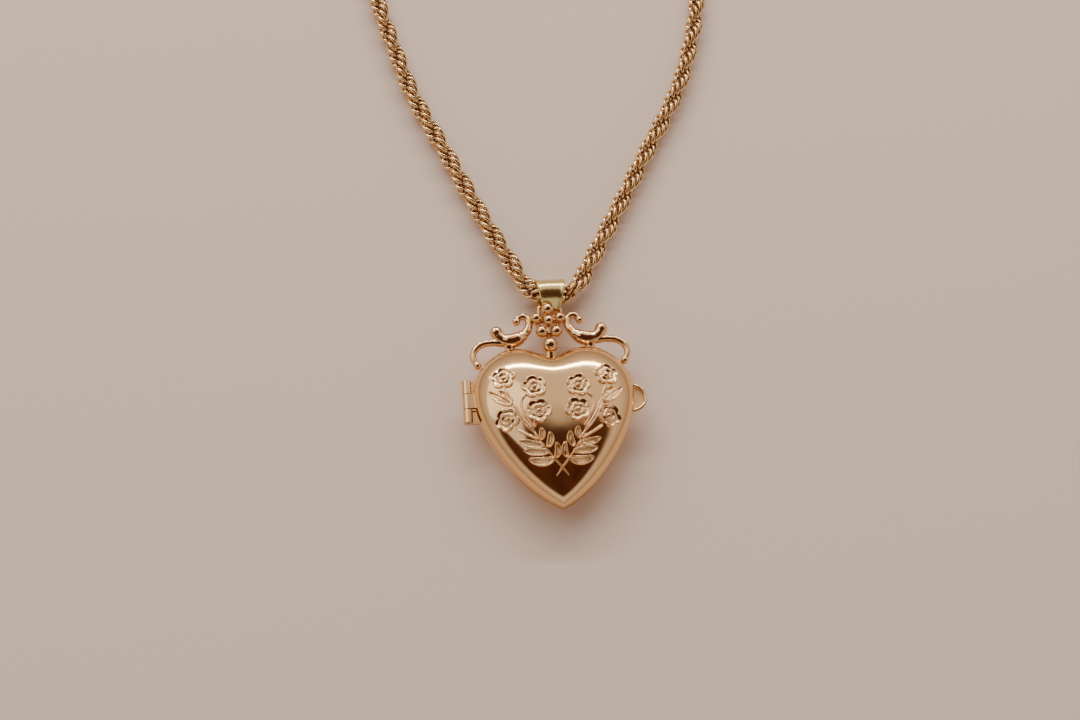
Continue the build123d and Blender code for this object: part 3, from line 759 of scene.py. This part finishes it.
def cast_piece(bm, name, material, body, voxel, passes):
    """Fuse overlapping shapes into one casting with softened joints, and finish it as a piece."""
    tidy_normals(bm)
    raw = bpy.data.meshes.new(name + "_raw")
    bm.to_mesh(raw)
    bm.free()
    carrier = bpy.data.objects.new(name + "_raw", raw)
    bpy.context.scene.collection.objects.link(carrier)
    fuse = carrier.modifiers.new("fuse", "REMESH")
    fuse.mode = "VOXEL"
    fuse.voxel_size = voxel
    soften = carrier.modifiers.new("soften", "SMOOTH")
    soften.factor = 0.5
    soften.iterations = passes
    fused = bpy.data.meshes.new_from_object(carrier.evaluated_get(bpy.context.evaluated_depsgraph_get()))
    bpy.data.objects.remove(carrier)
    bpy.data.meshes.remove(raw)
    casting = bmesh.new()
    casting.from_mesh(fused)
    bpy.data.meshes.remove(fused)
    return piece_from(casting, name, material, body, sharp_angle=80)


class NECKLACE_OT_crest(Operator):
    """Cast the beads, the eye and the two scrolls over the heart"""

    bl_idname = "necklace.crest"
    bl_label = "Crest"

    def execute(self, context):
        beads = bmesh.new()
        for x, y, radius, height in MIDDLE_BEADS:
            add_ball(beads, x, y, height, radius, 40, 24)
        web = bmesh.new()
        for points, radii in MIDDLE_WEB:
            add_rod(web, points, radii)
        for side in (-1, 1):
            for x, y, radius, height in RIGHT_BEADS:
                add_ball(beads, side * x, y, height, radius, 40, 24)
            for points, radii in RIGHT_WEB:
                add_rod(web, points, radii, side)
        add_rod(web, eye_line(), (EYE_WIRE, EYE_WIRE), heighten=1.15)
        beads = piece_from(beads, "crest_beads", locket_gold(), "locket_back")
        web = cast_piece(web, "crest_web", locket_gold(), "locket_back", WEB_VOXEL, 3)
        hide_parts("crest_centre")
        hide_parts("crest_centre")
        for side, name in ((1, "right_scroll"), (-1, "left_scroll")):
            bm = bmesh.new()
            for points, radii in SCROLL_LINES:
                add_rod(bm, points, radii, side)
            for (x, y, z), radius in SCROLL_BALLS:
                add_ball(bm, side * x, y, z, radius, 32, 20)
            scroll = cast_piece(bm, name + "_casting", locket_gold(), "locket_back",
                                SCROLL_VOXEL, 6)
            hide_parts(name)
        return {"FINISHED"}


# ----------------------------------------------------------------------------- bail
class NECKLACE_OT_bail(Operator):
    """Fold the bail's tapered strip round the chain and the eye"""

    bl_idname = "necklace.bail"
    bl_label = "Bail"

    def execute(self, context):
        wall = context.scene.necklace_sizes.strip_wall
        foot = JOINTS["bail_swing"]
        head = foot + Vector((0, 0.00175, 0))
        foot_radius, head_radius = 0.001, 0.00215
        foot_half_width, head_half_width = 0.00086, 0.0021
        taper_start, taper_length = 0.0186, 0.0046
        arc_steps, belt_step, half_steps = 60, 0.00012, 8
        flare_height, edge_round = 0.07, 0.00009
        # the strip's side view is a belt round two circles
        spread = (head - foot).length
        lean = pi - atan2((spread ** 2 - (head_radius - foot_radius) ** 2) ** 0.5, head_radius - foot_radius)
        belt = []
        for middle, radius, first, last in ((head, head_radius, -lean, lean),
                                            (foot, foot_radius, lean, 2 * pi - lean)):
            for k in range(arc_steps + 1):
                angle = first + (last - first) * k / arc_steps
                belt.append(middle + Vector((0, cos(angle), sin(angle))) * radius)
        points = [point for point, _, _ in evenly(belt + belt[:1], belt_step)][:-1]
        layers = []
        for step in range(-half_steps, half_steps + 1):
            across = step / half_steps
            flare = flare_height * across ** 6
            ring = []
            for point in points:
                share = min(1, max(0, (point.y - taper_start) / taper_length)) ** 0.62
                half_width = foot_half_width + (head_half_width - foot_half_width) * share
                ring.append(point + Vector((half_width * across, 0, 0)) + (point - head) * flare)
            layers.append(ring)
        bm = bmesh.new()
        rings(bm, layers)
        bmesh.ops.recalc_face_normals(bm, faces=bm.faces[:])
        if sum((f.calc_center_median() - head).dot(f.normal) for f in bm.faces) < 0:
            bmesh.ops.reverse_faces(bm, faces=bm.faces[:])
        bmesh.ops.solidify(bm, geom=bm.faces[:], thickness=wall)
        bmesh.ops.recalc_face_normals(bm, faces=bm.faces[:])
        corners = [e for e in bm.edges if e.calc_face_angle(0) > radians(50)]
        bmesh.ops.bevel(bm, geom=corners, offset=edge_round, affect="EDGES", segments=3, profile=0.5,
                        material=-1)
        strip = piece_from(bm, "bail_strip", bail_gold(), "bail")
        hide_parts("bail")
        return {"FINISHED"}


# ----------------------------------------------------------------------------- nail tab
TAB_MIDDLE = Vector((0.0105, 0.0045, 0))
TAB_ROOT = (0.0104, 0, 0)
TAB_CORNERS = 72
# (radius, height over the tab's underside), from the underside round the rim to the middle
TAB_PROFILE = [(1.2, 0.0), (1.9, 0.0), (2.05, 0.03), (2.13, 0.1), (2.15, 0.2), (2.15, 0.34), (2.12, 0.44),
               (2.04, 0.5), (1.93, 0.52), (1.82, 0.5), (1.74, 0.42), (1.7, 0.32), (1.64, 0.26), (1.5, 0.25),
               (0.8, 0.25)]


class NECKLACE_OT_tab(Operator):
    """Make the round nail tab with its raised rim"""

    bl_idname = "necklace.tab"
    bl_label = "Nail tab"

    def execute(self, context):
        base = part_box("nail_tab")[0].z
        across, up = Vector((1, 0, 0)), Vector((0, 1, 0))
        layers = [oval(TAB_MIDDLE + Vector((0, 0, base + height * MM)), across, up, radius * MM, radius * MM,
                       TAB_CORNERS) for radius, height in TAB_PROFILE]
        bm = bmesh.new()
        rings(bm, layers, close_first=True, close_last=True)
        cut = bmesh.ops.bisect_plane(bm, geom=bm.verts[:] + bm.edges[:] + bm.faces[:], plane_co=TAB_ROOT,
                                     plane_no=(-1, 0, 0), clear_outer=True)
        rim = [g for g in cut["geom_cut"] if isinstance(g, bmesh.types.BMEdge)]
        bmesh.ops.edgeloop_fill(bm, edges=rim)
        tidy_normals(bm)
        tab = piece_from(bm, "nail_tab_disc", locket_gold(), "lid")
        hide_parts("nail_tab")
        return {"FINISHED"}


# ----------------------------------------------------------------------------- pieces that keep their shape
KEPT_FINISHES = (
    (locket_gold, ("rear_photo_frame", "front_photo_frame", "rear_hinge_knuckles", "front_hinge_knuckle",
                   "snap_tongue")),
    (spring_steel, ("hinge_pin", "clasp_spring")),
    (chain_gold, ("end_caps", "jump_ring", "catch_ring", "clasp_ring", "clasp_bolt")),
    (clear_film, ("rear_window", "front_window")),
    (paper_card, ("rear_photo_card", "front_photo_card")))


class NECKLACE_OT_finishes(Operator):
    """Give the hinge, frames, windows, cards, rings and clasp their finishes"""

    bl_idname = "necklace.finishes"
    bl_label = "Hinge, inside and clasp finishes"

    def execute(self, context):
        for finish, names in KEPT_FINISHES:
            for name in names:
                mesh = NODES[name].data
                mesh.materials.clear()
                mesh.materials.append(finish())
        return {"FINISHED"}


# ----------------------------------------------------------------------------- floor and lights
def add_softbox(context, name, place, aim, size, power, colour):
    """Add one rectangular soft light that faces a point."""
    data = bpy.data.lights.new(name, "AREA")
    data.shape = "RECTANGLE"
    data.size, data.size_y = size
    data.energy = power
    data.color = colour
    light = bpy.data.objects.new(name, data)
    light.matrix_world = Matrix.Translation(place) @ (Vector(aim) - Vector(place)).to_track_quat(
        "-Z", "Y").to_matrix().to_4x4()
    context.scene.collection.objects.link(light)


class NECKLACE_OT_stage(Operator):
    """Add the pale floor and the soft studio lights"""

    bl_idname = "necklace.stage"
    bl_label = "Floor and lights"

    def execute(self, context):
        bm = bmesh.new()
        bmesh.ops.create_grid(bm, x_segments=1, y_segments=1, size=1.5)
        mesh = bpy.data.meshes.new("floor")
        bm.to_mesh(mesh)
        bm.free()
        floor = bpy.data.objects.new("floor", mesh)
        context.scene.collection.objects.link(floor)
        material, output = fresh_material("matt pale floor")
        shader = add_node(material, "ShaderNodeBsdfPrincipled",
                          {"Base Color": (*context.scene.necklace_colours.floor, 1), "Roughness": 0.95})
        material.node_tree.links.new(shader.outputs["BSDF"], output.inputs["Surface"])
        mesh.materials.append(material)
        # a soft bright room with one dark flag hung over the front, which gives the gold its dark side
        world = bpy.data.worlds.new("studio")
        world.use_nodes = True
        context.scene.world = world
        background = world.node_tree.nodes["Background"]
        background.inputs["Strength"].default_value = 1.0
        way = add_node(world, "ShaderNodeTexCoord").outputs["Generated"]
        narrow = add_node(world, "ShaderNodeVectorMath", {"operation": "MULTIPLY"}, {0: way})
        narrow.inputs[1].default_value = (0.45, 1, 1)
        away = add_node(world, "ShaderNodeVectorMath", {"operation": "DISTANCE"},
                        {0: narrow.outputs["Vector"]})
        away.inputs[1].default_value = (-0.03, -0.24, 0.96)
        edge = add_node(world, "ShaderNodeMapRange",
                        {"interpolation_type": "SMOOTHSTEP", "From Min": 0.52, "From Max": 0.7},
                        {"Value": away.outputs["Value"]})
        cloth = add_node(world, "ShaderNodeTexNoise", {"Scale": 3.0, "Detail": 1.0}, {"Vector": way})
        flag = add_node(world, "ShaderNodeMix", {"data_type": "RGBA"}, {"Factor": cloth.outputs["Fac"]})
        flag.inputs[6].default_value = (*[0.25 * c for c in linear("#483228")], 1)
        flag.inputs[7].default_value = (*[0.9 * c for c in linear("#704234")], 1)
        room = add_node(world, "ShaderNodeMix", {"data_type": "RGBA"},
                        {"Factor": edge.outputs["Result"], 6: flag.outputs[2]})
        height = add_node(world, "ShaderNodeSeparateXYZ", None, {"Vector": way}).outputs["Z"]
        rise = add_node(world, "ShaderNodeMapRange", {"From Max": 0.55}, {"Value": height})
        walls = add_node(world, "ShaderNodeMix", {"data_type": "RGBA"}, {"Factor": rise.outputs["Result"]})
        walls.inputs[6].default_value = (*[0.6 * c for c in linear("#DDBFA4")], 1)
        walls.inputs[7].default_value = (*linear("#F5E9E0"), 1)
        world.node_tree.links.new(walls.outputs[2], room.inputs[7])
        world.node_tree.links.new(room.outputs[2], background.inputs["Color"])
        add_softbox(context, "back_strip", (0.0, 0.6, 0.38), (0, 0, 0), (0.9, 0.018), 3.4, (1, 0.98, 0.95))
        add_softbox(context, "key_softbox", (-0.8, 0.6, 1.2), (0, 0.02, 0), (1.4, 1.1), 4.6, (1, 0.97, 0.94))
        return {"FINISHED"}


STEPS = ("camera", "rope", "stage", "covers", "wreath", "crest", "bail", "tab", "finishes")


class NECKLACE_PT_panel(Panel):
    """Sizes, colours and the operators that make each group of pieces"""

    bl_idname = "NECKLACE_PT_panel"
    bl_label = "Heart Locket Necklace"
    bl_space_type = "VIEW_3D"
    bl_region_type = "UI"
    bl_category = "Necklace"

    def draw(self, context):
        for settings in (context.scene.necklace_sizes, context.scene.necklace_colours):
            for key in settings.__annotations__:
                self.layout.prop(settings, key)
        for step in STEPS:
            self.layout.operator("necklace." + step)


CLASSES = [NecklaceSizes, NecklaceColours, NECKLACE_OT_camera, NECKLACE_OT_rope, NECKLACE_OT_stage,
           NECKLACE_OT_covers, NECKLACE_OT_wreath, NECKLACE_OT_crest, NECKLACE_OT_bail, NECKLACE_OT_tab,
           NECKLACE_OT_finishes, NECKLACE_PT_panel]


def register():
    """Register the classes and hang the settings on the scene."""
    for item in CLASSES:
        bpy.utils.register_class(item)
    bpy.types.Scene.necklace_sizes = PointerProperty(type=NecklaceSizes)
    bpy.types.Scene.necklace_colours = PointerProperty(type=NecklaceColours)


def unregister():
    """Take the classes and the settings away again."""
    del bpy.types.Scene.necklace_colours
    del bpy.types.Scene.necklace_sizes
    for item in reversed(CLASSES):
        bpy.utils.unregister_class(item)


def main():
    """Build the necklace."""
    register()
    for step in STEPS:
        getattr(bpy.ops.necklace, step)()


if __name__ == "__main__":
    main()
